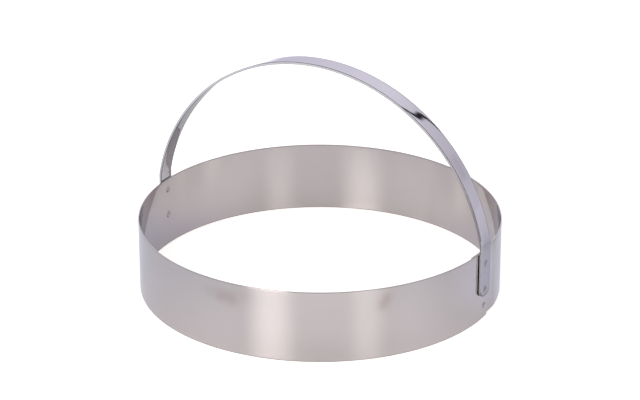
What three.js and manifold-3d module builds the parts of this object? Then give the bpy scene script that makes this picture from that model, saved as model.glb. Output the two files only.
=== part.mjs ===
// Calzone cutter: a lapped steel band with an arched strap handle, joined by spot welds.
// Millimetres, +Z up. The origin is on the band's axis at its lower edge, and the handle stands in the XZ plane.
import * as THREE from "three";
import { mergeVertices } from "three/addons/utils/BufferGeometryUtils.js";
import Module from "manifold-3d";

// Sizes of the band
const bandDiameter = 300;
const bandHeight = 60;
const bandThickness = 1;
const lapLength = 25;
const lapPastStrap = 9;
const joggleLength = 18;
const joggleLead = 3;

// Sizes of the handle strap
const strapWidth = 16;
const strapThickness = 2;
const strapEdgeRadius = 0.3;
const footBelowRim = 38.5;
const footCornerRadius = 6;
const legAboveRim = 5.5;
const legBendRadius = 12;
const legBendAngle = THREE.MathUtils.degToRad(10.8);

// Sizes of the spot welds
const weldFaceDiameter = 5;
const weldNuggetDiameter = 6;
const weldDishDepth = 0.25;
const upperWeldBelowRim = 10;
const lowerWeldAboveFootEnd = 5.5;
const seamWeldPastStrap = 3.5;

// Clearances
const seatClearance = 0.3;
const weldClearance = 0.3;

// Fineness of the facets
const bandStep = THREE.MathUtils.degToRad(1.5);
const archStep = THREE.MathUtils.degToRad(1.5);
const bendSteps = 5;
const edgeSteps = 2;
const cornerSteps = 8;
const weldSides = 24;
const dishSteps = 4;
const barrelSteps = 4;
const joggleSteps = 12;

// How far a cutting solid runs past what it cuts
const overrun = 3;

// Radii and heights that follow from the sizes
const bandOuter = bandDiameter / 2;
const bandInner = bandOuter - bandThickness;
const lapStep = bandThickness + seatClearance;
const lapInner = bandInner - lapStep;
const strapInner = bandOuter + seatClearance;
const strapOuter = strapInner + strapThickness;
const footEnd = bandHeight - footBelowRim;
const upperWeldHeight = bandHeight - upperWeldBelowRim;
const lowerWeldHeight = footEnd + lowerWeldAboveFootEnd;
const seamWeldHeight = footEnd / 2;
const seamWeldTurn = seamWeldPastStrap / bandOuter;
const legBendStart = bandHeight + legAboveRim;

const bandSteel = new THREE.MeshStandardMaterial({ color: 0xb0a8a2, roughness: 0.38, metalness: 1 });
const strapSteel = new THREE.MeshStandardMaterial({ color: 0xb4b2bd, roughness: 0.18, metalness: 1 });
const weldSteel = new THREE.MeshStandardMaterial({ color: 0x99938f, roughness: 0.45, metalness: 1 });

const wasm = await Module();
wasm.setup();

// Turns a closed geometry into a solid that can be cut and joined.
function solidOf(geometry) {
  const bare = geometry.clone();
  bare.deleteAttribute("normal");
  bare.deleteAttribute("uv");
  const merged = mergeVertices(bare, 1e-4);
  return new wasm.Manifold(
    new wasm.Mesh({
      numProp: 3,
      vertProperties: merged.attributes.position.array,
      triVerts: new Uint32Array(merged.index.array),
    }),
  );
}

// Turns a solid back into a geometry with flat-shaded normals.
function geometryOf(solid) {
  const mesh = solid.getMesh();
  const indexed = new THREE.BufferGeometry();
  indexed.setAttribute("position", new THREE.BufferAttribute(mesh.vertProperties, mesh.numProp));
  indexed.setIndex(new THREE.BufferAttribute(mesh.triVerts, 1));
  const faceted = indexed.toNonIndexed();
  faceted.computeVertexNormals();
  return faceted;
}

// Makes one named node of the part.
function piece(name, geometry, material) {
  const mesh = new THREE.Mesh(geometry, material);
  mesh.name = name;
  return mesh;
}

// Points of an arc about a centre, both ends included.
function arcPoints(centreX, centreY, radius, from, to, steps) {
  const points = [];
  for (let i = 0; i <= steps; i += 1) {
    const angle = from + ((to - from) * i) / steps;
    points.push(new THREE.Vector2(centreX + radius * Math.cos(angle), centreY + radius * Math.sin(angle)));
  }
  return points;
}

// Plan of the band: the strip starts as the lap's outer layer, runs once round the ring, steps inwards through
// the joggle and ends as the lap's inner layer.
function bandPlan() {
  const startAngle = lapPastStrap / bandOuter;
  const lapAngle = lapLength / bandOuter;
  const joggleEnd = 2 * Math.PI - joggleLead / bandOuter;
  const joggleStart = joggleEnd - joggleLength / bandOuter;
  const turns = [];
  const roundSteps = Math.ceil(joggleStart / bandStep);
  for (let i = 0; i < roundSteps; i += 1) {
    turns.push((joggleStart * i) / roundSteps);
  }
  for (let i = 0; i < joggleSteps; i += 1) {
    turns.push(THREE.MathUtils.lerp(joggleStart, joggleEnd, i / joggleSteps));
  }
  const lapEnd = 2 * Math.PI + lapAngle;
  const lapSteps = Math.ceil((lapEnd - joggleEnd) / bandStep);
  for (let i = 0; i <= lapSteps; i += 1) {
    turns.push(THREE.MathUtils.lerp(joggleEnd, lapEnd, i / lapSteps));
  }
  const face = (depth) =>
    turns.map((turn) => {
      const radius = bandOuter - depth - lapStep * THREE.MathUtils.smoothstep(turn, joggleStart, joggleEnd);
      const angle = startAngle - turn;
      return new THREE.Vector2(radius * Math.cos(angle), radius * Math.sin(angle));
    });
  return new THREE.Shape([...face(0), ...face(bandThickness).reverse()]);
}

// One face of the strap in its own plane, at a depth below the outer face: up the right leg, round the bend,
// over the arch and down the left leg.
function strapFace(depth) {
  const bendOuter = legBendRadius + strapThickness;
  const bendCentre = strapOuter - bendOuter;
  const archRadius = bendOuter + bendCentre / Math.cos(legBendAngle);
  const archCentre = legBendStart - bendCentre * Math.tan(legBendAngle);
  const archSweep = Math.PI - 2 * legBendAngle;
  const archSteps = Math.ceil(archSweep / archStep);
  const side = strapOuter - depth;
  const bend = bendOuter - depth;
  const rightBend = arcPoints(bendCentre, legBendStart, bend, 0, legBendAngle, bendSteps);
  const leftBend = arcPoints(-bendCentre, legBendStart, bend, Math.PI - legBendAngle, Math.PI, bendSteps);
  const arch = arcPoints(0, archCentre, archRadius - depth, legBendAngle, Math.PI - legBendAngle, archSteps);
  return [
    new THREE.Vector2(side, footEnd - overrun),
    ...rightBend,
    ...arch.slice(1, -1),
    ...leftBend,
    new THREE.Vector2(-side, footEnd - overrun),
  ];
}

// The strap before its feet are trimmed: its side profile, extruded across its width with rounded long edges.
function strapBlank() {
  const profile = new THREE.Shape([...strapFace(0), ...strapFace(strapThickness).reverse()]);
  const flatWidth = strapWidth - 2 * strapEdgeRadius;
  const blank = new THREE.ExtrudeGeometry(profile, {
    depth: flatWidth,
    bevelThickness: strapEdgeRadius,
    bevelSize: strapEdgeRadius,
    bevelOffset: -strapEdgeRadius,
    bevelSegments: edgeSteps,
  });
  return blank.translate(0, 0, -flatWidth / 2).rotateX(Math.PI / 2);
}

// What the strap keeps: everything above its feet's lower ends, with the two lower corners rounded.
function footTrim() {
  const half = strapWidth / 2;
  const cornerCentre = half - footCornerRadius;
  const cornerTop = footEnd + footCornerRadius;
  const top = legBendStart + 2 * strapOuter;
  const right = arcPoints(cornerCentre, cornerTop, footCornerRadius, -Math.PI / 2, 0, cornerSteps);
  const left = arcPoints(-cornerCentre, cornerTop, footCornerRadius, Math.PI, 1.5 * Math.PI, cornerSteps);
  const outline = new THREE.Shape([
    ...right,
    new THREE.Vector2(half + overrun, cornerTop),
    new THREE.Vector2(half + overrun, top),
    new THREE.Vector2(-half - overrun, top),
    new THREE.Vector2(-half - overrun, cornerTop),
    ...left,
  ]);
  const length = 2 * (strapOuter + overrun);
  const prism = new THREE.ExtrudeGeometry(outline, { depth: length, bevelEnabled: false });
  return prism.translate(0, 0, -length / 2).rotateX(Math.PI / 2).rotateZ(Math.PI / 2);
}

// Side of a weld nugget, swollen between the sheets that it joins, from its inner face to its outer face.
function nuggetSide(innerFace, outerFace, grow) {
  const faceRadius = weldFaceDiameter / 2 + grow;
  const bulge = weldNuggetDiameter - weldFaceDiameter / 2 + grow;
  const middle = (innerFace + outerFace) / 2;
  return new THREE.QuadraticBezierCurve(
    new THREE.Vector2(faceRadius, innerFace),
    new THREE.Vector2(bulge, middle),
    new THREE.Vector2(faceRadius, outerFace),
  ).getPoints(barrelSteps);
}

// Dished end of a weld nugget, from its centre out to its rim.
function nuggetDish(face, inwards) {
  const points = [];
  for (let i = 0; i < dishSteps; i += 1) {
    const share = i / dishSteps;
    const depth = weldDishDepth * (1 - share * share);
    points.push(new THREE.Vector2((share * weldFaceDiameter) / 2, face + inwards * depth));
  }
  return points;
}

// A weld nugget that lies along +X between two faces, given by their distances from the band's axis.
function nugget(innerFace, outerFace) {
  const profile = [
    ...nuggetDish(innerFace, 1),
    ...nuggetSide(innerFace, outerFace, 0),
    ...nuggetDish(outerFace, -1).reverse(),
  ];
  return new THREE.LatheGeometry(profile, weldSides).rotateZ(-Math.PI / 2);
}

// The room that a weld nugget takes up in the sheets, with its clearance.
function nuggetRoom(innerFace, outerFace) {
  const side = nuggetSide(innerFace, outerFace, weldClearance);
  const mouth = side[0].x;
  const profile = [
    new THREE.Vector2(0, innerFace - overrun),
    new THREE.Vector2(mouth, innerFace - overrun),
    ...side,
    new THREE.Vector2(mouth, outerFace + overrun),
    new THREE.Vector2(0, outerFace + overrun),
  ];
  return new THREE.LatheGeometry(profile, weldSides).rotateZ(-Math.PI / 2);
}

// Every weld: its name, where it stands round the ring, its height and the faces that it reaches.
const welds = [
  { name: "right_foot_weld_upper", turn: 0, height: upperWeldHeight, inner: lapInner, outer: strapOuter },
  { name: "right_foot_weld_lower", turn: 0, height: lowerWeldHeight, inner: lapInner, outer: strapOuter },
  { name: "left_foot_weld_upper", turn: Math.PI, height: upperWeldHeight, inner: bandInner, outer: strapOuter },
  { name: "left_foot_weld_lower", turn: Math.PI, height: lowerWeldHeight, inner: bandInner, outer: strapOuter },
  { name: "seam_weld", turn: seamWeldTurn, height: seamWeldHeight, inner: lapInner, outer: bandOuter },
];

// Cuts the welds' room out of a solid.
function cutForWelds(solid) {
  return welds.reduce((rest, weld) => {
    const room = nuggetRoom(weld.inner, weld.outer).rotateZ(weld.turn).translate(0, 0, weld.height);
    return rest.subtract(solidOf(room));
  }, solid);
}

const band = new THREE.ExtrudeGeometry(bandPlan(), { depth: bandHeight, bevelEnabled: false });
const cutterBand = piece("cutter_band", geometryOf(cutForWelds(solidOf(band))), bandSteel);

const trimmedStrap = solidOf(strapBlank()).intersect(solidOf(footTrim()));
const handleStrap = piece("handle_strap", geometryOf(cutForWelds(trimmedStrap)), strapSteel);

const cutter = new THREE.Group();
cutter.add(cutterBand, handleStrap);
for (const weld of welds) {
  const mesh = piece(weld.name, nugget(weld.inner, weld.outer), weldSteel);
  mesh.position.z = weld.height;
  mesh.rotation.z = weld.turn;
  cutter.add(mesh);
}

export default cutter;
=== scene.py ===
"""Calzone cutter: a lapped steel band with an arched strap handle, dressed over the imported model.

Metres, in the model's own frame: +Z up, the origin on the band's axis at its lower edge, and the handle in
the XZ plane. One class builds each sub-assembly, one frozen dataclass holds each finish, and the studio
classes light and frame the picture.
"""
import logging
import math
from dataclasses import dataclass, replace
from enum import Enum

import bmesh
import bpy
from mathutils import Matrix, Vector


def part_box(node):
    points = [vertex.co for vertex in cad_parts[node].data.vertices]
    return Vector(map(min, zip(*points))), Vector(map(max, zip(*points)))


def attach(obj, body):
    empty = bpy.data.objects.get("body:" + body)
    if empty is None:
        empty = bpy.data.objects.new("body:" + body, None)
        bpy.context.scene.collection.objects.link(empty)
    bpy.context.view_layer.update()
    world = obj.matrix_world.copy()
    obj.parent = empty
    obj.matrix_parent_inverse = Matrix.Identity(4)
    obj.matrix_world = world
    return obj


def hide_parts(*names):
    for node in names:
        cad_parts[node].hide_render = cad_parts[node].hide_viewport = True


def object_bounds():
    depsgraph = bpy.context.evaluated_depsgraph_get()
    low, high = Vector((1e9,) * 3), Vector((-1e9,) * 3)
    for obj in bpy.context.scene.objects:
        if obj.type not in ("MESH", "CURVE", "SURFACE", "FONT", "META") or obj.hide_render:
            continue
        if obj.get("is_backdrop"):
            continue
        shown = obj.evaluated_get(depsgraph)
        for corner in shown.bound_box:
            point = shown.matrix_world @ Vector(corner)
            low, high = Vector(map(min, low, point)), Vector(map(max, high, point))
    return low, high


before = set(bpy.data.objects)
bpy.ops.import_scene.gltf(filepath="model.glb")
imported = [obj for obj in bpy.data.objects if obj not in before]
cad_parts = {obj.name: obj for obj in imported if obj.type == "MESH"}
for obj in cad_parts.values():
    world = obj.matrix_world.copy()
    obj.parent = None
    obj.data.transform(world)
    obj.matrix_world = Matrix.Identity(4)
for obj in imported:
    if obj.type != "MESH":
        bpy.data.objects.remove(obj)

Point = tuple[float, float, float]
Colour = tuple[float, float, float]
Span = tuple[float, float]
SidePoint = tuple[float, float]
Socket = bpy.types.NodeSocket

MM = 0.001
BODY = "root"
MERGE_DISTANCE = 1e-7
SHARP_ANGLE = math.radians(35.0)
LEVEL_WEIGHT = 100
QUARTER_TURN = 0.25
RIGHT_ANGLE = 90.0
NOISE_MIDDLE = 0.5

# Sizes that the frame gives, and the corner radius of the strap's feet
BAND_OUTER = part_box("cutter_band")[1].y
BAND_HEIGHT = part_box("cutter_band")[1].z
STRAP_LOW, STRAP_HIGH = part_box("handle_strap")
FOOT_CORNER = 6.0 * MM

log = logging.getLogger("calzone_cutter")


def direction(azimuth: float, elevation: float) -> Vector:
    """Gives the direction from the object to a viewer.

    Args:
        azimuth: Degrees round from the front, towards +X.
        elevation: Degrees above the horizon.

    Returns:
        A unit vector.
    """
    a = math.radians(azimuth)
    e = math.radians(elevation)
    return Vector((math.sin(a) * math.cos(e), -math.cos(a) * math.cos(e), math.sin(e)))


def smoothstep(value: float, low: float, high: float) -> float:
    """Eases from 0 at the low value to 1 at the high one."""
    part = min(1.0, max(0.0, (value - low) / (high - low)))
    return part * part * (3.0 - 2.0 * part)


def spread(start: float, end: float, steps: int) -> list[float]:
    """Splits a span into equal steps, both ends included."""
    return [start + (end - start) * i / steps for i in range(steps + 1)]


class Grain(Enum):
    """Which way the fine lines of a steel finish run."""

    AROUND_BAND = "around_band"
    ALONG_STRAP = "along_strap"
    PRESSED = "pressed"

    def stretch(self, across: float, along: float) -> Point:
        """Gives the scale of a grain texture along X, Y and Z.

        Args:
            across: Lines per metre across the grain.
            along: Lines per metre along the grain.

        Returns:
            The three scales.
        """
        if self is Grain.AROUND_BAND:
            return (along, along, across)
        if self is Grain.ALONG_STRAP:
            return (along, across, along)
        return (across, across, across)

    def tangent_axis(self) -> str:
        """Gives the axis that the highlight's tangent turns about."""
        return "Y" if self is Grain.ALONG_STRAP else "Z"


class TreeBuilder:
    """Adds nodes and links to a node tree with little writing."""

    def __init__(self, tree: bpy.types.NodeTree) -> None:
        """Takes the shader or geometry node tree to fill."""
        self.tree = tree

    def add(
        self, kind: str, inputs: dict[str | int, object] | None = None, **settings: object
    ) -> bpy.types.Node:
        """Adds one node.

        Args:
            kind: The node's type name.
            inputs: What each input takes: a socket to link, or a plain value.
            settings: Properties of the node.

        Returns:
            The new node.
        """
        node = self.tree.nodes.new(kind)
        for name, value in settings.items():
            setattr(node, name, value)
        self.fill(node, inputs or {})
        return node

    def feed(self, socket: Socket, value: object) -> None:
        """Links a socket or sets its value.

        Args:
            socket: The input.
            value: Another node's output, or a plain value.
        """
        if isinstance(value, Socket):
            self.tree.links.new(value, socket)
        else:
            socket.default_value = value

    def fill(self, node: bpy.types.Node, values: dict[str | int, object]) -> None:
        """Feeds a node's inputs by name or number."""
        for key, value in values.items():
            self.feed(node.inputs[key], value)

    def math(self, operation: str, *values: object) -> Socket:
        """Gives the result of a math node."""
        return self.add("ShaderNodeMath", dict(enumerate(values)), operation=operation).outputs[0]

    def plus(self, first: object, second: object) -> Socket:
        """Adds two numbers."""
        return self.math("ADD", first, second)

    def minus(self, first: object, second: object) -> Socket:
        """Takes the second number from the first."""
        return self.math("SUBTRACT", first, second)

    def times(self, first: object, second: object) -> Socket:
        """Multiplies two numbers."""
        return self.math("MULTIPLY", first, second)

    def vector(self, operation: str, *values: object) -> Socket:
        """Gives the vector that a vector math node makes."""
        node = self.add("ShaderNodeVectorMath", dict(enumerate(values)), operation=operation)
        return node.outputs["Vector"]

    def measure(self, operation: str, *values: object) -> Socket:
        """Gives the number that a vector math node makes."""
        node = self.add("ShaderNodeVectorMath", dict(enumerate(values)), operation=operation)
        return node.outputs["Value"]

    def scaled(self, vector: object, factor: object) -> Socket:
        """Gives a vector times a number."""
        node = self.add("ShaderNodeVectorMath", {0: vector, "Scale": factor}, operation="SCALE")
        return node.outputs["Vector"]

    def joined(self, x: object, y: object, z: object) -> Socket:
        """Gives a vector from its three numbers."""
        return self.add("ShaderNodeCombineXYZ", {0: x, 1: y, 2: z}).outputs[0]

    def noise(self, place: Socket, scale: float, detail: float) -> bpy.types.Node:
        """Adds a noise texture."""
        return self.add("ShaderNodeTexNoise", {"Vector": place, "Scale": scale, "Detail": detail})

    def ramp(self, value: Socket, span: Span, to_low: float = 0.0, to_high: float = 1.0) -> Socket:
        """Maps a span of values smoothly to the values from to_low to to_high."""
        inputs = dict(enumerate((value, *span, to_low, to_high)))
        return self.add("ShaderNodeMapRange", inputs, interpolation_type="SMOOTHSTEP").outputs[0]

    def blend(self, kind: str, factor: object, first: object, second: object) -> Socket:
        """Mixes two colours.

        Args:
            kind: The blend type.
            factor: How much of the second colour is used.
            first: The colour below.
            second: The colour above.

        Returns:
            The mixed colour.
        """
        node = self.add("ShaderNodeMix", {"Factor": factor}, data_type="RGBA", blend_type=kind)
        colours = [socket for socket in node.inputs if socket.type == "RGBA"]
        for socket, colour in zip(colours, (first, second)):
            self.feed(socket, (*colour, 1.0) if isinstance(colour, tuple) else colour)
        return next(socket for socket in node.outputs if socket.type == "RGBA")

    def bump(
        self, height: Socket, depth: float, normal: Socket | None = None, strength: object = 1.0
    ) -> Socket:
        """Adds relief to a normal.

        Args:
            height: The relief's height, as a share of its depth.
            depth: The depth in metres.
            normal: The normal below it, if there is one.
            strength: How much of the relief is used.

        Returns:
            The new normal.
        """
        inputs = {"Height": height, "Distance": depth, "Strength": strength}
        if normal is not None:
            inputs["Normal"] = normal
        return self.add("ShaderNodeBump", inputs).outputs["Normal"]


class MarkKind(Enum):
    """What a mark on the steel stands for: heat tint, smudges and painted shade, scratches, and stretches
    of edge that catch the light and keep no dark line.
    """

    HEAT = "heat"
    SMUDGE_AND_SHADE = "smudge_and_shade"
    SCRATCH = "scratch"
    LIT_EDGE = "lit_edge"


@dataclass(frozen=True)
class Mark:
    """A soft-edged mark along a short line."""

    kind: MarkKind
    start: Point
    end: Point
    reach: float
    strength: float
    core_share: float = 0.4
    smudge_and_shade_falloff: float = 1.6

    def mask(self, tree: TreeBuilder, place: Socket) -> Socket:
        """Makes the mark's mask from the distance to its line.

        Args:
            tree: The material's tree.
            place: Object coordinates.

        Returns:
            A value from 0 to the mark's strength.
        """
        spine = Vector(self.end) - Vector(self.start)
        apart = tree.vector("SUBTRACT", place, self.start)
        part = tree.measure("DOT_PRODUCT", apart, tuple(spine / spine.length_squared))
        part = tree.add("ShaderNodeClamp", {"Value": part}).outputs[0]
        nearest = tree.vector("ADD", tree.scaled(tuple(spine), part), self.start)
        away = tree.measure("DISTANCE", place, nearest)
        if self.kind is MarkKind.SMUDGE_AND_SHADE:
            soft = tree.math("POWER", tree.ramp(away, (0.0, self.reach), 1.0, 0.0), self.smudge_and_shade_falloff)
            return tree.times(soft, self.strength)
        return tree.ramp(away, (self.core_share * self.reach, self.reach), self.strength, 0.0)


@dataclass(frozen=True)
class CutEdge:
    """The cut edges of a strip, found by how near a point is to the strip's outline; their dark line is
    partly painted shade.
    """

    axis: str
    middle: float
    half: float
    corner: float
    line: float
    side: float
    edge_line_and_shade_colour: Colour
    side_colour: Colour
    roughness: float
    crown: float
    end: float | None = None
    line_blur: float = 0.15 * MM
    side_blur_share: float = 0.8
    crown_power: float = 3.0
    inner_crown_share: float = 0.7

    def outline(self, tree: TreeBuilder, place: Socket) -> Socket:
        """Measures how far a point is outside the strip's core, one corner radius inside its outline.

        Args:
            tree: The material's tree.
            place: Object coordinates.

        Returns:
            A length that is the corner radius on the outline.
        """
        axes = tree.add("ShaderNodeSeparateXYZ", {0: place}).outputs
        aside = tree.math("ABSOLUTE", tree.minus(axes[self.axis], self.middle))
        past = tree.math("MAXIMUM", tree.minus(aside, self.half - self.corner), 0.0)
        if self.end is None:
            return past
        below = tree.math("MAXIMUM", tree.minus(self.end + self.corner, axes["Z"]), 0.0)
        return tree.measure("LENGTH", tree.joined(past, below, 0.0))

    def masks(self, tree: TreeBuilder, outline: Socket) -> tuple[Socket, Socket]:
        """Makes the masks of the rounded edge and of the cut side behind it.

        Args:
            tree: The material's tree.
            outline: What the outline method gives.

        Returns:
            The mask of both together, and the mask of the side alone.
        """
        start = self.corner - self.line
        side = self.corner - self.side
        edge = tree.ramp(outline, (start, start + self.line_blur))
        return edge, tree.ramp(outline, (side, side + self.side_blur_share * self.side))

    def rounding(self, tree: TreeBuilder, outline: Socket) -> Socket:
        """Makes the height of the slight crown across the strip, which falls to -1 at the outline."""
        share = tree.math("DIVIDE", outline, self.corner)
        return tree.times(tree.math("POWER", share, self.crown_power), -1.0)


@dataclass(frozen=True)
class SteelTexture:
    """The patterns that all the steel finishes share. Scales count lines or patches per metre."""

    grain_across: float = 2600.0
    grain_along: float = 14.0
    grain_detail: float = 3.0
    grain_span: Span = (0.3, 0.7)
    grain_shade: Span = (0.985, 1.01)
    patch_scale: float = 16.0
    patch_detail: float = 2.0
    patch_span: Span = (0.35, 0.7)
    scratch_turn: Point = (0.35, 0.5, 0.2)
    scratch_across: float = 260.0
    scratch_along: float = 18.0
    scratch_detail: float = 0.0
    scratch_width: float = 0.012
    scratch_area_scale: float = 55.0
    scratch_area_detail: float = 1.0
    scratch_area_span: Span = (0.56, 0.66)
    scratch_share: float = 0.35
    scratch_roughness: float = 0.1
    stir_scale: float = 130.0
    stir_detail: float = 2.0
    stir_reach: float = 4.0 * MM
    wave_scale: float = 38.0
    wave_detail: float = 1.0
    outside_span: Span = (0.0, 0.02)
    slant_blend: float = 0.5
    slant_span: Span = (0.45, 0.7)
    slant_roughness_share: float = 0.4


@dataclass(frozen=True)
class SteelFinish:
    """A steel surface: its colour, how it blurs reflections, its grain and its wear."""

    name: str
    slot: str
    colour: Colour
    patch_colour: Colour
    edge_tint: Colour
    roughness: float
    patch_roughness: float
    anisotropy: float
    grain: Grain
    grain_roughness: float
    grain_depth: float
    wave_depth: float
    scratch_strength: float
    inner_colour: Colour | None = None
    inner_tint: Colour | None = None
    cut_edge: CutEdge | None = None
    heat_colour: Colour = (0.62, 0.52, 0.44)
    smudge_and_shade_colour: Colour = (0.72, 0.64, 0.58)
    texture: SteelTexture = SteelTexture()

    def material(self, marks: list[Mark]) -> bpy.types.Material:
        """Builds the node material of this finish with the marks that the steel carries."""
        return SteelShader(self, marks).build()


class SteelShader:
    """Builds the node material of one finish on object coordinates."""

    def __init__(self, finish: SteelFinish, marks: list[Mark]) -> None:
        """Starts the material with the patterns that its colour, gloss and relief share.

        Args:
            finish: The finish.
            marks: The marks that the steel carries.
        """
        self.finish = finish
        self.texture = finish.texture
        self.cut = finish.cut_edge
        self.marks = marks
        self.made = bpy.data.materials.new(finish.name)
        self.made.use_nodes = True
        self.tree = TreeBuilder(self.made.node_tree)
        self.place = self.tree.add("ShaderNodeTexCoord").outputs["Object"]
        self.outside = self.outer_faces()
        self.grain = self.grain_lines()
        self.patches = self.dull_patches()
        self.scratches = self.scratch_lines()
        self.outline: Socket | None = None
        self.edge: Socket | None = None
        self.side: Socket | None = None
        if self.cut is not None:
            self.find_edges()

    def build(self) -> bpy.types.Material:
        """Links colour, gloss and relief to the shader.

        Returns:
            The material.
        """
        axis = self.finish.grain.tangent_axis()
        tangent = self.tree.add("ShaderNodeTangent", direction_type="RADIAL", axis=axis)
        values = {
            "Base Color": self.colour(),
            "Roughness": self.roughness(),
            "Normal": self.normal(),
            "Tangent": tangent.outputs["Tangent"],
            "Metallic": 1.0,
            "Specular Tint": self.tint(),
            "Anisotropic": self.finish.anisotropy,
            "Anisotropic Rotation": QUARTER_TURN,
        }
        self.tree.fill(self.made.node_tree.nodes["Principled BSDF"], values)
        return self.made

    def colour(self) -> Socket:
        """Makes the colour: patches, the strip's inner side, grain, stains with painted shade among them,
        and cut edges whose dark line is partly painted shade.

        Returns:
            The colour.
        """
        tree = self.tree
        finish = self.finish
        colour = tree.blend("MIX", self.patches, finish.colour, finish.patch_colour)
        if finish.inner_colour is not None:
            colour = tree.blend("MIX", self.outside, finish.inner_colour, colour)
        shade = tree.ramp(self.grain, self.texture.grain_span, *self.texture.grain_shade)
        grey = tree.add("ShaderNodeCombineColor", {0: shade, 1: shade, 2: shade})
        colour = tree.blend("MULTIPLY", 1.0, colour, grey.outputs[0])
        heat = self.strongest(MarkKind.HEAT, self.stirred())
        if heat is not None:
            colour = tree.blend("MULTIPLY", heat, colour, finish.heat_colour)
        # Smudges, and on the strap's arch painted shade for a darker reflection, darken the colour.
        smudge_and_shade = self.strongest(MarkKind.SMUDGE_AND_SHADE, self.stirred())
        if smudge_and_shade is not None:
            colour = tree.blend("MULTIPLY", tree.times(smudge_and_shade, self.outside), colour, finish.smudge_and_shade_colour)
        if self.cut is not None:
            # Dark edge line: partly the cut edge's own darker colour, partly painted shade.
            colour = tree.blend("MIX", self.edge, colour, self.cut.edge_line_and_shade_colour)
            colour = tree.blend("MIX", self.side, colour, self.cut.side_colour)
        return colour

    def tint(self) -> object:
        """Makes the tint of reflections at a slant.

        Returns:
            The tint as a plain colour, or as a mix where the strip's inner side has its own.
        """
        finish = self.finish
        if finish.inner_tint is None:
            return (*finish.edge_tint, 1.0)
        return self.tree.blend("MIX", self.outside, finish.inner_tint, finish.edge_tint)

    def roughness(self) -> Socket:
        """Makes the roughness: grain, patches, scratches and cut edges, and less of it at a slant.

        Returns:
            The roughness.
        """
        tree = self.tree
        base = self.finish.roughness
        swing = self.finish.grain_roughness
        rough = tree.ramp(self.grain, self.texture.grain_span, base - swing, base + swing)
        rough = tree.plus(rough, tree.times(self.patches, self.finish.patch_roughness))
        rough = tree.plus(rough, tree.times(self.scratches, self.texture.scratch_roughness))
        if self.cut is not None:
            rough = tree.plus(rough, tree.times(self.edge, self.cut.roughness))
        slant = tree.add("ShaderNodeLayerWeight", {"Blend": self.texture.slant_blend}).outputs["Facing"]
        share = self.texture.slant_roughness_share
        return tree.times(rough, tree.ramp(slant, self.texture.slant_span, 1.0, share))

    def normal(self) -> Socket:
        """Makes the relief: grain and scratches, slight waves and the crown of a rolled strip.

        Returns:
            The normal.
        """
        tree = self.tree
        finish = self.finish
        scored = tree.minus(self.grain, tree.times(self.scratches, finish.scratch_strength))
        normal = tree.bump(scored, finish.grain_depth)
        wave = tree.noise(self.place, self.texture.wave_scale, self.texture.wave_detail)
        normal = tree.bump(wave.outputs[0], finish.wave_depth, normal)
        if self.cut is None:
            return normal
        strength = tree.ramp(self.outside, (0.0, 1.0), self.cut.inner_crown_share, 1.0)
        return tree.bump(self.cut.rounding(tree, self.outline), self.cut.crown, normal, strength)

    def outer_faces(self) -> Socket:
        """Finds the faces that point away from the object's middle.

        Returns:
            A value that is 1 on them and 0 on the others.
        """
        facing = self.tree.add("ShaderNodeNewGeometry").outputs["True Normal"]
        outward = self.tree.measure("DOT_PRODUCT", facing, self.place)
        return self.tree.ramp(outward, self.texture.outside_span)

    def grain_lines(self) -> Socket:
        """Makes the fine rolled lines.

        Returns:
            A value about 0.5.
        """
        scale = self.finish.grain.stretch(self.texture.grain_across, self.texture.grain_along)
        mapped = self.tree.add("ShaderNodeMapping", {"Vector": self.place, "Scale": scale})
        return self.tree.noise(mapped.outputs[0], 1.0, self.texture.grain_detail).outputs[0]

    def dull_patches(self) -> Socket:
        """Makes broad soft patches from 0 to 1, where hands and cloths have dulled the steel."""
        noise = self.tree.noise(self.place, self.texture.patch_scale, self.texture.patch_detail)
        return self.tree.ramp(noise.outputs[0], self.texture.patch_span)

    def scratch_lines(self) -> Socket:
        """Makes a few faint slanting scratches, and the clear ones among the marks.

        Returns:
            A value that is 1 on the clearest scratch.
        """
        tree = self.tree
        texture = self.texture
        turned = tree.add("ShaderNodeMapping", {"Vector": self.place, "Rotation": texture.scratch_turn})
        scale = self.finish.grain.stretch(texture.scratch_across, texture.scratch_along)
        mapped = tree.add("ShaderNodeMapping", {"Vector": turned.outputs[0], "Scale": scale})
        noise = tree.noise(mapped.outputs[0], 1.0, texture.scratch_detail)
        line = tree.math("ABSOLUTE", tree.minus(noise.outputs[0], NOISE_MIDDLE))
        thin = tree.ramp(line, (0.0, texture.scratch_width), 1.0, 0.0)
        area = tree.noise(self.place, texture.scratch_area_scale, texture.scratch_area_detail)
        found = tree.times(thin, tree.ramp(area.outputs[0], texture.scratch_area_span))
        faint = tree.times(found, texture.scratch_share)
        clear = self.strongest(MarkKind.SCRATCH, self.place)
        if clear is None:
            return faint
        return tree.math("MAXIMUM", faint, tree.times(clear, self.outside))

    def find_edges(self) -> None:
        """Sets the masks of the strip's cut edges, leaving the dark line out where the edge catches the
        light.
        """
        self.outline = self.cut.outline(self.tree, self.place)
        self.edge, self.side = self.cut.masks(self.tree, self.outline)
        lit_edge = self.strongest(MarkKind.LIT_EDGE, self.place)
        if lit_edge is not None:
            self.edge = self.tree.times(self.edge, self.tree.minus(1.0, lit_edge))

    def stirred(self) -> Socket:
        """Moves the coordinates about a little, so that the edge of a soft mark isn't a plain round.

        Returns:
            The stirred coordinates.
        """
        tree = self.tree
        noise = tree.noise(self.place, self.texture.stir_scale, self.texture.stir_detail)
        shift = tree.vector("SUBTRACT", noise.outputs["Color"], (NOISE_MIDDLE,) * 3)
        return tree.vector("ADD", self.place, tree.scaled(shift, self.texture.stir_reach))

    def strongest(self, kind: MarkKind, place: Socket) -> Socket | None:
        """Joins the masks of all marks of one kind.

        Args:
            kind: The kind to join.
            place: Object coordinates, plain or stirred.

        Returns:
            The joined mask, or None where there is no such mark.
        """
        total = None
        for mark in self.marks:
            if mark.kind is kind:
                mask = mark.mask(self.tree, place)
                total = mask if total is None else self.tree.math("MAXIMUM", total, mask)
        return total


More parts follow.
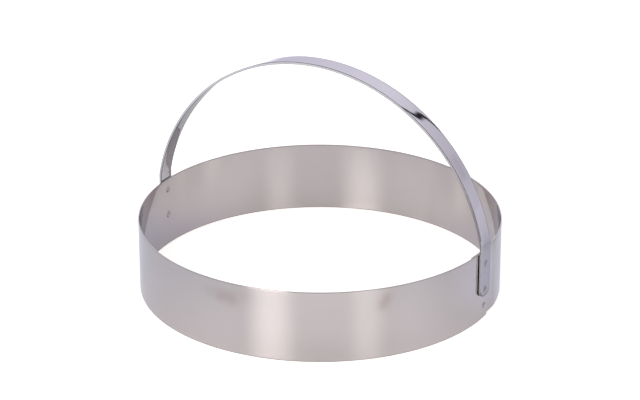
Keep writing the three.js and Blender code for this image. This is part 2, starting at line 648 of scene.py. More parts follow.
BAND_FINISH = SteelFinish(
    name="satin_band_steel",
    slot="band_steel",
    colour=(0.575, 0.525, 0.52),
    patch_colour=(0.56, 0.511, 0.507),
    edge_tint=(0.93, 0.95, 0.98),
    roughness=0.14,
    patch_roughness=0.02,
    anisotropy=0.5,
    grain=Grain.AROUND_BAND,
    grain_roughness=0.03,
    grain_depth=0.003 * MM,
    wave_depth=0.01 * MM,
    scratch_strength=0.6,
    cut_edge=CutEdge(
        axis="Z",
        middle=BAND_HEIGHT / 2.0,
        half=BAND_HEIGHT / 2.0,
        corner=3.5 * MM,
        line=0.6 * MM,
        side=0.1 * MM,
        # Dark lines along both rims, the rim faces with them: partly the cut edge, partly painted shade
        # along the lower rim where the band meets the floor.
        edge_line_and_shade_colour=(0.3, 0.28, 0.27),
        side_colour=(0.4, 0.37, 0.36),
        roughness=0.1,
        crown=0.1 * MM,
    ),
)
STRAP_FINISH = SteelFinish(
    name="polished_strap_steel",
    slot="strap_steel",
    colour=(0.525, 0.50, 0.54),
    patch_colour=(0.50, 0.48, 0.515),
    edge_tint=(0.66, 0.66, 0.70),
    roughness=0.052,
    patch_roughness=0.02,
    anisotropy=0.0,
    grain=Grain.ALONG_STRAP,
    grain_roughness=0.02,
    grain_depth=0.001 * MM,
    wave_depth=0.045 * MM,
    scratch_strength=0.5,
    smudge_and_shade_colour=(0.6, 0.6, 0.6),
    inner_colour=(0.6, 0.59, 0.61),
    inner_tint=(0.6, 0.6, 0.6),
    cut_edge=CutEdge(
        axis="Y",
        middle=0.0,
        half=STRAP_HIGH.y,
        corner=FOOT_CORNER,
        line=0.85 * MM,
        side=0.02 * MM,
        # Dark edge line: partly the rough cut edge, partly painted shade in the gap where the feet lie on
        # the band.
        edge_line_and_shade_colour=(0.16, 0.15, 0.155),
        side_colour=(0.6, 0.59, 0.59),
        roughness=0.15,
        crown=0.22 * MM,
        end=STRAP_LOW.z,
    ),
)
PAINTED_SHADE_WELD_FINISH = SteelFinish(
    name="pressed_weld_steel_painted_shade",
    slot="weld_steel",
    # Darker than the band's steel as painted shade: it stands in for the dark crescents in the dished ends.
    colour=(0.36, 0.34, 0.34),
    patch_colour=(0.28, 0.26, 0.26),
    edge_tint=(0.8, 0.8, 0.85),
    roughness=0.16,
    patch_roughness=0.08,
    anisotropy=0.0,
    grain=Grain.PRESSED,
    grain_roughness=0.05,
    grain_depth=0.006 * MM,
    wave_depth=0.0,
    scratch_strength=0.0,
)
PALE_PAINTED_SHADE_WELD_FINISH = replace(
    PAINTED_SHADE_WELD_FINISH,
    name="pale_weld_steel_painted_shade",
    # Lighter for the left row, but still darker than the band's steel as painted shade.
    colour=(0.47, 0.44, 0.43),
    patch_colour=(0.41, 0.385, 0.375),
)


class GeometryTree:
    """A Geometry Nodes tree with named inputs."""

    def __init__(self, name: str) -> None:
        """Makes an empty tree with a geometry input and output.

        Args:
            name: The tree's name.
        """
        self.group = bpy.data.node_groups.new(name, "GeometryNodeTree")
        self.build = TreeBuilder(self.group)
        self.identifiers: dict[str, str] = {}
        self.group.interface.new_socket("Geometry", in_out="INPUT", socket_type="NodeSocketGeometry")
        self.group.interface.new_socket("Geometry", in_out="OUTPUT", socket_type="NodeSocketGeometry")
        self.start = self.group.nodes.new("NodeGroupInput")
        self.end = self.group.nodes.new("NodeGroupOutput")

    def take(self, name: str, kind: str) -> Socket:
        """Adds a named input.

        Args:
            name: The input's name.
            kind: The socket's type, such as Float.

        Returns:
            The socket inside the tree.
        """
        socket = self.group.interface.new_socket(name, in_out="INPUT", socket_type=f"NodeSocket{kind}")
        self.identifiers[name] = socket.identifier
        return self.start.outputs[name]

    def close(self, geometry: Socket, material: Socket) -> None:
        """Ends the tree: real geometry with its material.

        Args:
            geometry: What the tree has made.
            material: The material input.
        """
        real = self.build.add("GeometryNodeRealizeInstances", {0: geometry}).outputs[0]
        smooth = self.build.add("GeometryNodeSetShadeSmooth", {0: real}).outputs[0]
        dressed = self.build.add("GeometryNodeSetMaterial", {"Geometry": smooth, "Material": material})
        self.build.fill(self.end, {0: dressed.outputs[0]})

    def attach(self, piece: bpy.types.Object, values: dict[str, object]) -> None:
        """Puts the tree on an object with the values of its inputs.

        Args:
            piece: The object.
            values: What each named input takes.
        """
        modifier = piece.modifiers.new(self.group.name, "NODES")
        modifier.node_group = self.group
        for name, value in values.items():
            modifier[self.identifiers[name]] = value


class StripTree(GeometryTree):
    """Sweeps a strip of sheet with rounded edges along a path, and narrows it where the path says so."""

    def __init__(self) -> None:
        """Builds the tree."""
        super().__init__("bent_strip")
        width = self.take("Strip width", "Float")
        thickness = self.take("Strip thickness", "Float")
        edge = self.take("Edge radius", "Float")
        steps = self.take("Edge steps", "Int")
        across = self.take("Across", "Vector")
        material = self.take("Material", "Material")
        build = self.build
        path = build.add("GeometryNodeMeshToCurve", {0: self.start.outputs["Geometry"]}).outputs[0]
        level = build.add("GeometryNodeSetCurveNormal", {"Curve": path, "Normal": across}, mode="FREE")
        section = build.add(
            "GeometryNodeCurvePrimitiveQuadrilateral", {"Width": width, "Height": thickness}
        )
        rounded = build.add(
            "GeometryNodeFilletCurve",
            {"Curve": section.outputs[0], "Count": steps, "Radius": edge, "Limit Radius": True},
            mode="POLY",
        )
        strip = build.add(
            "GeometryNodeCurveToMesh",
            {"Curve": level.outputs[0], "Profile Curve": rounded.outputs[0], "Fill Caps": True},
        )
        narrow = build.add("GeometryNodeInputNamedAttribute", {"Name": "narrowing"}, data_type="FLOAT")
        place = build.add("GeometryNodeInputPosition").outputs[0]
        back = build.times(build.measure("DOT_PRODUCT", place, across), narrow.outputs[0])
        moved = build.add(
            "GeometryNodeSetPosition",
            {"Geometry": strip.outputs[0], "Offset": build.scaled(across, back)},
        )
        self.close(moved.outputs[0], material)


class WeldTree(GeometryTree):
    """Sets a row of spot welds with dished ends, one above the other on the band's wall."""

    ROUND_STEPS = 48
    SIDE_STEPS = 6
    FACE_STEPS = 14
    DISH_POWER = 2.5

    def __init__(self) -> None:
        """Builds the tree."""
        super().__init__("weld_row")
        count = self.take("Count", "Int")
        first = self.take("First height", "Float")
        spacing = self.take("Spacing", "Float")
        turn = self.take("Turn", "Float")
        inner = self.take("Inner face", "Float")
        outer = self.take("Outer face", "Float")
        radius = self.take("Face radius", "Float")
        swell = self.take("Swell", "Float")
        dish = self.take("Dish depth", "Float")
        material = self.take("Material", "Material")
        build = self.build
        depth = build.minus(outer, inner)
        middle = build.times(build.plus(outer, inner), 0.5)
        nugget = self.nugget(radius, depth, swell, dish)
        lying = build.add(
            "GeometryNodeTransform", {"Geometry": nugget, "Rotation": (0.0, math.pi / 2.0, 0.0)}
        )
        line = build.add(
            "GeometryNodeMeshLine",
            {
                "Count": count,
                "Start Location": build.joined(middle, 0.0, first),
                "Offset": build.joined(0.0, 0.0, spacing),
            },
        )
        row = build.add(
            "GeometryNodeInstanceOnPoints", {"Points": line.outputs[0], "Instance": lying.outputs[0]}
        )
        turned = build.add(
            "GeometryNodeTransform",
            {"Geometry": row.outputs[0], "Rotation": build.joined(0.0, 0.0, turn)},
        )
        self.close(turned.outputs[0], material)

    def nugget(self, radius: Socket, depth: Socket, swell: Socket, dish: Socket) -> Socket:
        """Shapes one weld from a rod: a barrel whose two ends are dished.

        Args:
            radius: The radius of its ends.
            depth: Its length along Z.
            swell: How much wider its middle is, as a share.
            dish: How deep its ends are dished.

        Returns:
            The weld's geometry.
        """
        build = self.build
        times = build.times
        rod = build.add(
            "GeometryNodeMeshCylinder",
            {
                "Vertices": self.ROUND_STEPS,
                "Side Segments": self.SIDE_STEPS,
                "Fill Segments": self.FACE_STEPS,
                "Radius": radius,
                "Depth": depth,
            },
            fill_type="TRIANGLE_FAN",
        )
        place = build.add("GeometryNodeInputPosition").outputs[0]
        x, y, z = build.add("ShaderNodeSeparateXYZ", {0: place}).outputs
        out = build.math("DIVIDE", build.plus(times(x, x), times(y, y)), times(radius, radius))
        hollow = build.minus(1.0, build.math("POWER", out, self.DISH_POWER))
        share = build.math("DIVIDE", times(dish, 2.0), depth)
        along = times(z, build.minus(1.0, times(share, hollow)))
        level = build.math("DIVIDE", times(z, 2.0), depth)
        belly = build.minus(1.0, times(level, level))
        grow = build.plus(1.0, times(swell, belly))
        shaped = build.joined(times(x, grow), times(y, grow), along)
        moved = build.add("GeometryNodeSetPosition", {"Geometry": rod.outputs[0], "Position": shaped})
        return moved.outputs[0]


def new_object(name: str, points: list[Point], edges: list[tuple[int, int]]) -> bpy.types.Object:
    """Makes an object from points and edges and links it to the scene.

    Args:
        name: The object's name.
        points: Its vertices.
        edges: Pairs of vertices.

    Returns:
        The object.
    """
    mesh = bpy.data.meshes.new(name)
    mesh.from_pydata(points, edges, [])
    made = bpy.data.objects.new(name, mesh)
    bpy.context.scene.collection.objects.link(made)
    return made


def apply_modifiers(piece: bpy.types.Object) -> None:
    """Turns what an object's modifiers make into its own plain mesh.

    Args:
        piece: The object.
    """
    evaluated = piece.evaluated_get(bpy.context.evaluated_depsgraph_get())
    mesh = bpy.data.meshes.new_from_object(evaluated)
    piece.modifiers.clear()
    piece.data = mesh
    mesh.name = piece.name


def settle(piece: bpy.types.Object) -> None:
    """Turns an object's modifiers into plain mesh, with outward normals and sharp edges kept.

    Args:
        piece: The object.
    """
    apply_modifiers(piece)
    mesh = piece.data
    work = bmesh.new()
    work.from_mesh(mesh)
    bmesh.ops.remove_doubles(work, verts=work.verts, dist=MERGE_DISTANCE)
    bmesh.ops.recalc_face_normals(work, faces=work.faces)
    work.to_mesh(mesh)
    work.free()
    mesh.shade_smooth()
    mesh.set_sharp_from_angle(angle=SHARP_ANGLE)
    level = piece.modifiers.new("level_faces", "WEIGHTED_NORMAL")
    level.mode = "FACE_AREA"
    level.weight = LEVEL_WEIGHT
    level.keep_sharp = True
    apply_modifiers(piece)


@dataclass
class WeldRow:
    """One row of spot welds on the wall of the band."""

    name: str
    nodes: tuple[str, ...]
    inner_face: float
    outer_face: float
    face_radius: float = 2.5 * MM
    swell: float = 0.2
    dish_depth: float = 0.9 * MM
    clearance: float = 0.06 * MM
    overrun: float = 3.0 * MM
    heat_reach: float = 5.5 * MM
    heat_strength: float = 0.12
    finish: SteelFinish = PAINTED_SHADE_WELD_FINISH

    def middles(self) -> list[Vector]:
        """Reads the middle of each weld from the frame, lowest first."""
        corners = [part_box(node) for node in self.nodes]
        return sorted([(low + high) / 2.0 for low, high in corners], key=lambda point: point.z)

    def marks(self) -> list[Mark]:
        """Gives the heat marks that the welds have left.

        Returns:
            One mark along each weld, from its inner to its outer face.
        """
        found = []
        for middle in self.middles():
            outward = Vector((middle.x, middle.y, 0.0)).normalized()
            lift = Vector((0.0, 0.0, middle.z))
            start = tuple(outward * self.inner_face + lift)
            end = tuple(outward * self.outer_face + lift)
            found.append(Mark(MarkKind.HEAT, start, end, self.heat_reach, self.heat_strength))
        return found

    def values(self, room: bool) -> dict[str, object]:
        """Gives the inputs of the weld tree.

        Args:
            room: True for the hole that the weld stands in, False for the weld.

        Returns:
            The values by name.
        """
        middles = self.middles()
        beyond = self.overrun if room else 0.0
        return {
            "Count": len(middles),
            "First height": middles[0].z,
            "Spacing": middles[-1].z - middles[0].z,
            "Turn": math.atan2(middles[0].y, middles[0].x),
            "Inner face": self.inner_face - beyond,
            "Outer face": self.outer_face + beyond,
            "Face radius": self.face_radius + (self.clearance if room else 0.0),
            "Swell": 0.0 if room else self.swell,
            "Dish depth": 0.0 if room else self.dish_depth,
        }

    def make(self, tree: WeldTree, material: bpy.types.Material) -> bpy.types.Object:
        """Builds the welds of this row.

        Args:
            tree: The weld tree.
            material: Their finish.

        Returns:
            The piece.
        """
        piece = new_object(self.name, [(0.0, 0.0, 0.0)], [])
        tree.attach(piece, {**self.values(room=False), "Material": material})
        settle(piece)
        return piece

    def room(self, tree: WeldTree) -> bpy.types.Object:
        """Builds the cutter for the holes that the welds stand in.

        Args:
            tree: The weld tree.

        Returns:
            A helper object.
        """
        helper = new_object(f"{self.name}_room", [(0.0, 0.0, 0.0)], [])
        tree.attach(helper, self.values(room=True))
        settle(helper)
        return helper


@dataclass
class Strip:
    """A strip of sheet that is bent along a path and has holes for spot welds."""

    name: str
    width: float
    across: Point
    thickness: float
    edge_radius: float
    edge_steps: int

    def path(self) -> tuple[list[Point], list[float]]:
        """Gives the middle line, and the change of width at each point as a share of the width."""
        raise NotImplementedError

    def make(
        self, tree: StripTree, material: bpy.types.Material, rooms: list[bpy.types.Object]
    ) -> bpy.types.Object:
        """Sweeps the strip along its path and cuts its weld holes.

        Args:
            tree: The strip tree.
            material: The strip's finish.
            rooms: Cutters for the weld holes.

        Returns:
            The piece.
        """
        points, narrowing = self.path()
        piece = new_object(self.name, points, [(i, i + 1) for i in range(len(points) - 1)])
        lost = piece.data.attributes.new("narrowing", "FLOAT", "POINT")
        lost.data.foreach_set("value", narrowing)
        values = {
            "Strip width": self.width,
            "Strip thickness": self.thickness,
            "Edge radius": self.edge_radius,
            "Edge steps": self.edge_steps,
            "Across": self.across,
            "Material": material,
        }
        tree.attach(piece, values)
        for room in rooms:
            hole = piece.modifiers.new(room.name, "BOOLEAN")
            hole.operation = "DIFFERENCE"
            hole.solver = "EXACT"
            hole.object = room
        settle(piece)
        return piece


@dataclass
class Band(Strip):
    """The cutter's band: one strip of sheet, rolled into a ring and lapped under the right foot."""

    name: str = "satin_band"
    width: float = BAND_HEIGHT
    across: Point = (0.0, 0.0, 1.0)
    thickness: float = 1.0 * MM
    edge_radius: float = 0.2 * MM
    edge_steps: int = 4
    lap_length: float = 25.0 * MM
    lap_past_strap: float = 9.0 * MM
    joggle_length: float = 18.0 * MM
    joggle_lead: float = 3.0 * MM
    lap_gap: float = 0.3 * MM
    round_steps: int = 480
    joggle_steps: int = 24
    lap_steps: int = 24

    def lap_step(self) -> float:
        """Gives how far the joggle steps inwards."""
        return self.thickness + self.lap_gap

    def path(self) -> tuple[list[Point], list[float]]:
        """Gives the middle line of the strip, from its outer free end to its inner one.

        Returns:
            The points, and a change of width of 0 at each.
        """
        start = self.lap_past_strap / BAND_OUTER
        joggle_end = math.tau - self.joggle_lead / BAND_OUTER
        joggle_start = joggle_end - self.joggle_length / BAND_OUTER
        last = math.tau + self.lap_length / BAND_OUTER
        turns = spread(0.0, joggle_start, self.round_steps)[:-1]
        turns += spread(joggle_start, joggle_end, self.joggle_steps)[:-1]
        turns += spread(joggle_end, last, self.lap_steps)
        points = []
        for turn in turns:
            inset = self.lap_step() * smoothstep(turn, joggle_start, joggle_end)
            radius = BAND_OUTER - self.thickness / 2.0 - inset
            angle = start - turn
            points.append((radius * math.cos(angle), radius * math.sin(angle), BAND_HEIGHT / 2.0))
        return points, [0.0] * len(points)

    def on_wall(self, azimuth: float, height: float) -> Point:
        """Gives a point on the outer wall from its degrees round and its height above the lower edge."""
        spot = BAND_OUTER * direction(azimuth, 0.0)
        return (spot.x, spot.y, height)

    def marks(self) -> list[Mark]:
        """Lists the marks that the photo shows on the outer wall.

        Returns:
            Brown smudges under the rim at two places, a stretch of rim that catches the light and keeps no
            dark line, and four short scratches.
        """
        smudge_and_shade = MarkKind.SMUDGE_AND_SHADE
        scratch = MarkKind.SCRATCH
        on = self.on_wall
        fine = 0.3 * MM
        lit_from = on(9.0, BAND_HEIGHT)
        lit_to = on(17.5, BAND_HEIGHT)
        return [
            Mark(smudge_and_shade, on(-1.5, 47.5 * MM), on(2.0, 47.0 * MM), reach=14.0 * MM, strength=0.5),
            Mark(smudge_and_shade, on(-6.0, 48.5 * MM), on(6.0, 51.0 * MM), reach=13.0 * MM, strength=0.2),
            Mark(smudge_and_shade, on(49.6, 51.0 * MM), on(48.6, 46.0 * MM), reach=11.0 * MM, strength=0.5),
            # The rim catches the light here, so it keeps no dark edge line.
            Mark(MarkKind.LIT_EDGE, lit_from, lit_to, reach=9.0 * MM, strength=1.0),
            Mark(scratch, on(14.3, 47.0 * MM), on(18.6, 47.4 * MM), reach=fine, strength=1.0),
            Mark(scratch, on(13.8, 38.3 * MM), on(16.2, 38.7 * MM), reach=fine, strength=0.8),
            Mark(scratch, on(14.0, 31.9 * MM), on(15.9, 32.2 * MM), reach=fine, strength=0.7),
            Mark(scratch, on(40.6, 25.0 * MM), on(40.1, 18.0 * MM), reach=fine, strength=0.8),
        ]


@dataclass
class Strap(Strip):
    """The handle: one flat strip, bent into an arch, whose feet lie on the outside of the band."""

    name: str = "polished_strap"
    width: float = STRAP_HIGH.y - STRAP_LOW.y
    across: Point = (0.0, 1.0, 0.0)
    thickness: float = 2.0 * MM
    edge_radius: float = 0.35 * MM
    edge_steps: int = 5
    leg_above_rim: float = 5.5 * MM
    bend_radius: float = 12.0 * MM
    bend_angle: float = math.radians(10.8)
    corner_steps: int = 20
    leg_steps: int = 12
    bend_steps: int = 12
    arch_steps: int = 200

    def leg_side(self) -> float:
        """Gives how far out the middle line of a leg stands."""
        return STRAP_HIGH.x - self.thickness / 2.0

    def bend(self) -> float:
        """Gives the radius of a bend on the middle line."""
        return self.bend_radius + self.thickness / 2.0

    def bend_start(self) -> float:
        """Gives the height where a leg ends and its bend starts."""
        return BAND_HEIGHT + self.leg_above_rim

    def on_arch(self, turn: float) -> SidePoint:
        """Gives a point on the middle line of the arch.

        Args:
            turn: The angle up from the right foot, in radians.

        Returns:
            The point's X and Z.
        """
        bend_centre = self.leg_side() - self.bend()
        radius = self.bend() + bend_centre / math.cos(self.bend_angle)
        centre = self.bend_start() - bend_centre * math.tan(self.bend_angle)
        return (radius * math.cos(turn), centre + radius * math.sin(turn))

    def path(self) -> tuple[list[Point], list[float]]:
        """Gives the middle line of the strip from its right foot to its left one.

        Returns:
            The points, and the change of width at each, which is below 0 at the feet's rounded ends.
        """
        side = self.leg_side()
        bend = self.bend()
        start = self.bend_start()
        right: list[SidePoint] = []
        narrowing: list[float] = []
        for turn in spread(0.0, math.pi / 2.0, self.corner_steps):
            right.append((side, STRAP_LOW.z + FOOT_CORNER * (1.0 - math.cos(turn))))
            narrowing.append(-FOOT_CORNER * (1.0 - math.sin(turn)) / STRAP_HIGH.y)
        right += [(side, z) for z in spread(STRAP_LOW.z + FOOT_CORNER, start, self.leg_steps)[1:-1]]
        for turn in spread(0.0, self.bend_angle, self.bend_steps)[:-1]:
            right.append((side - bend + bend * math.cos(turn), start + bend * math.sin(turn)))
        narrowing += [0.0] * (len(right) - len(narrowing))
        turns = spread(self.bend_angle, math.pi - self.bend_angle, self.arch_steps)
        top = [self.on_arch(turn) for turn in turns]
        left = [(-x, z) for x, z in reversed(right)]
        points = [(x, 0.0, z) for x, z in right + top + left]
        return points, narrowing + [0.0] * len(top) + narrowing[::-1]

    def marks(self) -> list[Mark]:
        """Lists the marks that the photo shows on the strap, painted shade among them.

        Returns:
            A dull patch at the right bend, painted shade higher up the arch for a darker reflection in the
            polished steel, and stretches of the right foot's edges that catch the light and keep no dark
            line.
        """
        side = STRAP_HIGH.x
        low_x, low_z = self.on_arch(math.radians(33.0))
        high_x, high_z = self.on_arch(math.radians(37.0))
        bend_low = (side, 0.0, 68.0 * MM)
        bend_high = (side, 0.0, 72.0 * MM)
        arch_low = (low_x, 0.0, low_z)
        arch_high = (high_x, 0.0, high_z)
        found = [
            Mark(MarkKind.SMUDGE_AND_SHADE, bend_low, bend_high, reach=11.0 * MM, strength=0.3),
            # Painted shade: stands in for a darker reflection higher up the polished arch.
            Mark(MarkKind.SMUDGE_AND_SHADE, arch_low, arch_high, reach=14.0 * MM, strength=0.4),
        ]
        # The right foot's edges catch the light along here, so they keep no dark edge line.
        for edge in (-STRAP_HIGH.y, STRAP_HIGH.y):
            foot_low = (side, edge, 29.0 * MM)
            foot_high = (side, edge, 70.0 * MM)
            found.append(Mark(MarkKind.LIT_EDGE, foot_low, foot_high, reach=3.0 * MM, strength=0.9))
        return found


class CalzoneCutter:
    """The whole object: the band, the strap and the welds between them."""

    def __init__(self) -> None:
        """Works out the welds from the band's and the strap's sizes."""
        self.band = Band()
        self.strap = Strap()
        band_inner = BAND_OUTER - self.band.thickness
        lap_inner = band_inner - self.band.lap_step()
        self.right_welds = WeldRow(
            "right_foot_welds",
            ("right_foot_weld_upper", "right_foot_weld_lower"),
            inner_face=lap_inner,
            outer_face=STRAP_HIGH.x,
        )
        self.left_welds = WeldRow(
            "left_foot_welds",
            ("left_foot_weld_upper", "left_foot_weld_lower"),
            inner_face=band_inner,
            outer_face=STRAP_HIGH.x,
            dish_depth=0.5 * MM,
            finish=PALE_PAINTED_SHADE_WELD_FINISH,
        )
        self.seam = WeldRow("seam_welds", ("seam_weld",), inner_face=lap_inner, outer_face=BAND_OUTER)

    def make(self) -> None:
        """Builds, dresses and registers every piece."""
        foot_rows = [self.right_welds, self.left_welds]
        rows = [*foot_rows, self.seam]
        foot_heat = self.right_welds.marks() + self.left_welds.marks()
        band_material = BAND_FINISH.material(foot_heat + self.seam.marks() + self.band.marks())
        strap_material = STRAP_FINISH.material(foot_heat + self.strap.marks())
        weld_materials = {finish: finish.material([]) for finish in (PAINTED_SHADE_WELD_FINISH, PALE_PAINTED_SHADE_WELD_FINISH)}
        strip_tree = StripTree()
        weld_tree = WeldTree()
        rooms = [row.room(weld_tree) for row in rows]
        foot_rooms = rooms[: len(foot_rows)]
        self.register(self.band.make(strip_tree, band_material, rooms), BAND_FINISH, "cutter_band")
        self.register(self.strap.make(strip_tree, strap_material, foot_rooms), STRAP_FINISH, "handle_strap")
        for row in rows:
            self.register(row.make(weld_tree, weld_materials[row.finish]), row.finish, *row.nodes)
        for room in rooms:
            bpy.data.objects.remove(room)

    def register(self, piece: bpy.types.Object, finish: SteelFinish, *nodes: str) -> None:
        """Attaches a piece to the body, hides the CAD nodes that it stands for, and reports it.

        Args:
            piece: The piece.
            finish: Its finish.
            nodes: The CAD nodes that it replaces.
        """
        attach(piece, BODY)
        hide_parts(*nodes)
        faces = len(piece.data.polygons)
        log.info("%s: %d faces, %s, for %s", piece.name, faces, finish.name, ", ".join(nodes))


@dataclass
class Lamp:
    """A soft lamp that points at the object."""

    name: str
    azimuth: float
    elevation: float
    distance: float
    width: float
    height: float
    power: float
    colour: Colour
    soft_height: bool = False

    def make(self, target: Vector) -> None:
        """Builds the lamp.

        Args:
            target: Where it points.
        """
        data = bpy.data.lights.new(self.name, "AREA")
        data.shape = "RECTANGLE"
        data.size = self.width
        data.size_y = self.height
        data.energy = self.power
        data.color = self.colour
        data.use_nodes = True
        tree = TreeBuilder(data.node_tree)
        spot = tree.add("ShaderNodeNewGeometry").outputs["Parametric"]
        axes = tree.add("ShaderNodeSeparateXYZ", {0: spot}).outputs
        bell = self.bell(tree, axes["X"])
        if self.soft_height:
            bell = tree.times(bell, self.bell(tree, axes["Y"]))
        tree.fill(data.node_tree.nodes["Emission"], {"Strength": tree.times(bell, bell)})
        made = bpy.data.objects.new(self.name, data)
        bpy.context.scene.collection.objects.link(made)
        made.visible_camera = False
        made.location = target + self.distance * direction(self.azimuth, self.elevation)
        made.rotation_euler = (target - made.location).to_track_quat("-Z", "Y").to_euler()

    @staticmethod
    def bell(tree: TreeBuilder, share: Socket) -> Socket:
        """Lets the light fade from 1 in the middle of the lamp to 0 at both sides."""
        return tree.times(tree.times(share, tree.minus(1.0, share)), 4.0)


@dataclass
class Floor:
    """A white floor that keeps the object's shadow, with a glow that only reflections show.

    The glow stands in for the lit table of a studio: warm along the photo's line of sight and cool to both
    sides of it. A span gives the two distances in metres between which the light changes.
    """

    camera_azimuth: float
    size: float = 8.0
    drop: float = 0.1 * MM
    colour: Colour = (0.8, 0.8, 0.8)
    roughness: float = 0.15
    lift: float = 0.57
    sheen_edge: Span = (0.13, 0.15)
    sheen_inside: float = 0.17
    sheen_outside: float = 0.5
    middle_shift: float = 0.012
    front_colour: Colour = (1.06, 0.99, 0.92)
    side_colour: Colour = (0.86, 0.84, 1.14)
    side_inside: Span = (0.06, 0.13)
    inside_edge: Span = (0.14, 0.15)
    side_outside: Span = (0.15, 0.26)
    side_fade: Span = (0.24, 0.36)
    side_far_share: float = 0.5
    foot_spot: Point = (0.195, 0.07, 0.0)
    foot_reach: Span = (0.03, 0.095)
    foot_glow: float = 0.1
    middle_reach: Span = (0.03, 0.28)
    middle_glow: float = 0.28
    front_reach: Span = (0.0, 0.16)
    behind_share: float = 0.82
    ring_radius: float = 0.162
    ring_reach: Span = (0.0, 0.05)
    ring_share: float = 0.75
    back_turn: float = 207.0
    back_reach: Span = (0.32, 0.5)
    back_glow: float = 1.3
    far_reach: Span = (0.26, 0.45)
    far_glow: float = 0.2

    def make(self) -> None:
        """Builds the floor."""
        half = self.size / 2.0
        corners = [(x * half, y * half, -self.drop) for x, y in ((-1, -1), (1, -1), (1, 1), (-1, 1))]
        mesh = bpy.data.meshes.new("floor")
        mesh.from_pydata(corners, [], [(0, 1, 2, 3)])
        floor = bpy.data.objects.new("floor", mesh)
        bpy.context.scene.collection.objects.link(floor)
        mesh.materials.append(self.material())
        floor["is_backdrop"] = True

    def material(self) -> bpy.types.Material:
        """Builds the floor's material.

        Returns:
            The material.
        """
        made = bpy.data.materials.new("white_floor")
        made.use_nodes = True
        tree = TreeBuilder(made.node_tree)
        rays = tree.add("ShaderNodeLightPath").outputs
        seen = rays["Is Camera Ray"]
        mirrored = rays["Is Glossy Ray"]
        place = tree.add("ShaderNodeTexCoord").outputs["Object"]
        away = tree.measure("LENGTH", place)
        sideways = self.along(tree, place, RIGHT_ANGLE)
        apart = tree.math("ABSOLUTE", tree.minus(sideways, self.middle_shift))
        spot = tree.ramp(tree.measure("DISTANCE", place, self.foot_spot), self.foot_reach, 1.0, 0.0)
        sheen = tree.ramp(away, self.sheen_edge, self.sheen_inside, self.sheen_outside)
        inside = tree.times(tree.ramp(apart, self.side_inside), tree.ramp(away, self.inside_edge, 1.0, 0.0))
        cool = tree.math("MAXIMUM", inside, tree.ramp(apart, self.side_outside))
        cool = tree.times(cool, tree.ramp(away, self.side_fade, 1.0, self.side_far_share))
        cool = tree.times(tree.math("MAXIMUM", cool, spot), mirrored)
        glow = tree.ramp(apart, self.middle_reach, self.middle_glow, 0.0)
        front = self.along(tree, place, 0.0)
        glow = tree.times(glow, tree.ramp(front, self.front_reach, self.behind_share, 1.0))
        glow = tree.plus(glow, tree.times(spot, self.foot_glow))
        ring = tree.math("ABSOLUTE", tree.minus(away, self.ring_radius))
        glow = tree.times(glow, tree.ramp(ring, self.ring_reach, self.ring_share, 1.0))
        back = self.along(tree, place, self.back_turn)
        glow = tree.plus(glow, tree.ramp(back, self.back_reach, 0.0, self.back_glow))
        glow = tree.plus(glow, tree.ramp(away, self.far_reach, 0.0, self.far_glow))
        values = {
            "Base Color": (*self.colour, 1.0),
            "Roughness": self.roughness,
            "Specular IOR Level": tree.times(tree.minus(1.0, seen), sheen),
            "Emission Color": tree.blend("MIX", cool, self.front_colour, self.side_colour),
            "Emission Strength": tree.plus(tree.times(mirrored, glow), tree.times(seen, self.lift)),
        }
        tree.fill(made.node_tree.nodes["Principled BSDF"], values)
        return made

    def along(self, tree: TreeBuilder, place: Socket, turn: float) -> Socket:
        """Measures how far a place lies in a direction, in degrees round from the camera's side."""
        return tree.measure("DOT_PRODUCT", place, tuple(direction(self.camera_azimuth + turn, 0.0)))


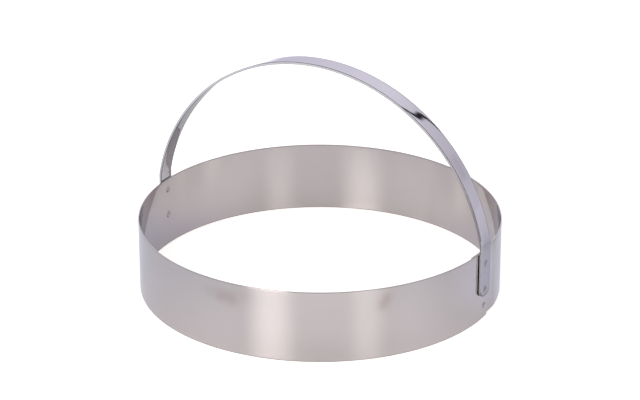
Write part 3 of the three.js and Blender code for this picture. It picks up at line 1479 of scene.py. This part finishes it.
@dataclass
class Surroundings:
    """A white backdrop, and the room that only reflections show.

    The room is dim on the camera's side and lower in light near the horizon behind the right foot, and it
    has one dark upright, whose mirror image is the dark spot on the arch. A span of the dim places is in
    cosines of the angle from their middle, and the upright's width in sines.
    """

    camera_azimuth: float
    backdrop_light: float = 1.1
    fill_light: float = 0.71
    fill_colour: Colour = (0.88, 0.94, 1.04)
    room_light: float = 1.33
    room_colour: Colour = (0.94, 0.925, 1.0)
    dim_elevation: float = 12.0
    dim_span: Span = (0.45, 0.85)
    dim_share: float = 0.3
    horizon_azimuth: float = 142.0
    horizon_elevation: float = -10.0
    horizon_span: Span = (0.5, 0.88)
    horizon_share: float = 0.72
    upright_azimuth: float = 165.2
    upright_elevation: float = 31.0
    upright_width: Span = (0.016, 0.037)
    upright_length: Span = (0.955, 0.98)

    def make(self) -> None:
        """Builds the world."""
        world = bpy.data.worlds.new("white_studio")
        bpy.context.scene.world = world
        world.use_nodes = True
        tree = TreeBuilder(world.node_tree)
        rays = tree.add("ShaderNodeLightPath").outputs
        seen = rays["Is Camera Ray"]
        mirrored = tree.math("MAXIMUM", rays["Is Glossy Ray"], rays["Is Transmission Ray"])
        light = self.switch(tree, mirrored, self.fill_light, self.room(tree))
        colour = tree.blend("MIX", mirrored, self.fill_colour, self.room_colour)
        values = {
            "Color": tree.blend("MIX", seen, colour, (1.0, 1.0, 1.0)),
            "Strength": self.switch(tree, seen, light, self.backdrop_light),
        }
        tree.fill(world.node_tree.nodes["Background"], values)

    def room(self, tree: TreeBuilder) -> Socket:
        """Makes the light of the room by direction.

        Args:
            tree: The world's tree.

        Returns:
            The light.
        """
        look = tree.add("ShaderNodeTexCoord").outputs["Generated"]
        camera = self.toward(tree, look, self.camera_azimuth, self.dim_elevation)
        dim = tree.ramp(camera, self.dim_span, 1.0, self.dim_share)
        horizon = self.toward(tree, look, self.horizon_azimuth, self.horizon_elevation)
        low_light = self.room_light * self.horizon_share
        room = tree.times(dim, tree.ramp(horizon, self.horizon_span, self.room_light, low_light))
        off = tree.math("ABSOLUTE", self.toward(tree, look, self.upright_azimuth + RIGHT_ANGLE, 0.0))
        along = self.toward(tree, look, self.upright_azimuth, self.upright_elevation)
        upright = tree.times(
            tree.ramp(off, self.upright_width, 1.0, 0.0), tree.ramp(along, self.upright_length)
        )
        return tree.times(room, tree.minus(1.0, upright))

    @staticmethod
    def toward(tree: TreeBuilder, look: Socket, azimuth: float, elevation: float) -> Socket:
        """Measures how nearly a look points in a direction, as a cosine."""
        return tree.measure("DOT_PRODUCT", look, tuple(direction(azimuth, elevation)))

    @staticmethod
    def switch(tree: TreeBuilder, factor: Socket, first: object, second: object) -> Socket:
        """Gives the first number where the factor is 0, and the second where it is 1."""
        values = {"Factor": factor, "A": first, "B": second}
        return tree.add("ShaderNodeMix", values, data_type="FLOAT").outputs[0]


@dataclass
class Studio:
    """The floor, the surroundings, the lamps and the camera of the picture."""

    camera_azimuth: float = 29.345
    camera_elevation: float = 24.789
    camera_distance: float = 2.0913
    camera_pitch: float = 23.725
    camera_lens: float = 141.5
    camera_sensor: float = 36.0
    camera_range: Span = (0.05, 50.0)
    camera_target: Point = (0.0, 0.0, 0.030)
    lamp_target: Point = (0.0, 0.0, 0.06)
    warm_white: Colour = (1.0, 0.97, 0.92)
    cool_white: Colour = (0.98, 0.97, 1.0)

    def lamps(self) -> list[Lamp]:
        """Lists the lamps, placed from the camera's side.

        Returns:
            The lamps.
        """
        left = Lamp(
            "left_softbox",
            azimuth=self.camera_azimuth - 29.5,
            elevation=26.0,
            distance=1.6,
            width=1.0,
            height=1.2,
            power=19.0,
            colour=self.warm_white,
        )
        right = replace(
            left,
            name="right_softbox",
            azimuth=self.camera_azimuth + 28.0,
            distance=1.7,
            width=0.8,
            power=7.0,
        )
        back = Lamp(
            "back_softbox",
            azimuth=self.camera_azimuth + 187.0,
            elevation=0.0,
            distance=2.4,
            width=2.6,
            height=0.76,
            power=9.8,
            colour=self.cool_white,
            soft_height=True,
        )
        return [left, right, back]

    def make(self) -> None:
        """Builds the whole studio."""
        Floor(self.camera_azimuth).make()
        Surroundings(self.camera_azimuth).make()
        for lamp in self.lamps():
            lamp.make(Vector(self.lamp_target))
        self.make_camera()
        bpy.context.scene.view_settings.view_transform = "Standard"

    def make_camera(self) -> None:
        """Builds the camera."""
        data = bpy.data.cameras.new("camera")
        data.lens = self.camera_lens
        data.sensor_width = self.camera_sensor
        data.clip_start, data.clip_end = self.camera_range
        camera = bpy.data.objects.new("camera", data)
        bpy.context.scene.collection.objects.link(camera)
        aim = direction(self.camera_azimuth, self.camera_elevation)
        camera.location = Vector(self.camera_target) + self.camera_distance * aim
        tilt = math.radians(RIGHT_ANGLE - self.camera_pitch)
        camera.rotation_euler = (tilt, 0.0, math.radians(self.camera_azimuth))
        bpy.context.scene.camera = camera


def corners() -> list[list[float]]:
    """Reads the shown object's lowest and highest corner as plain lists."""
    return [[float(value) for value in corner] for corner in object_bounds()]


def main() -> None:
    """Builds the object and its studio."""
    logging.basicConfig(level=logging.INFO, format="%(name)s: %(message)s")
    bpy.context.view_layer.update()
    CalzoneCutter().make()
    Studio().make()


if __name__ == "__main__":
    main()
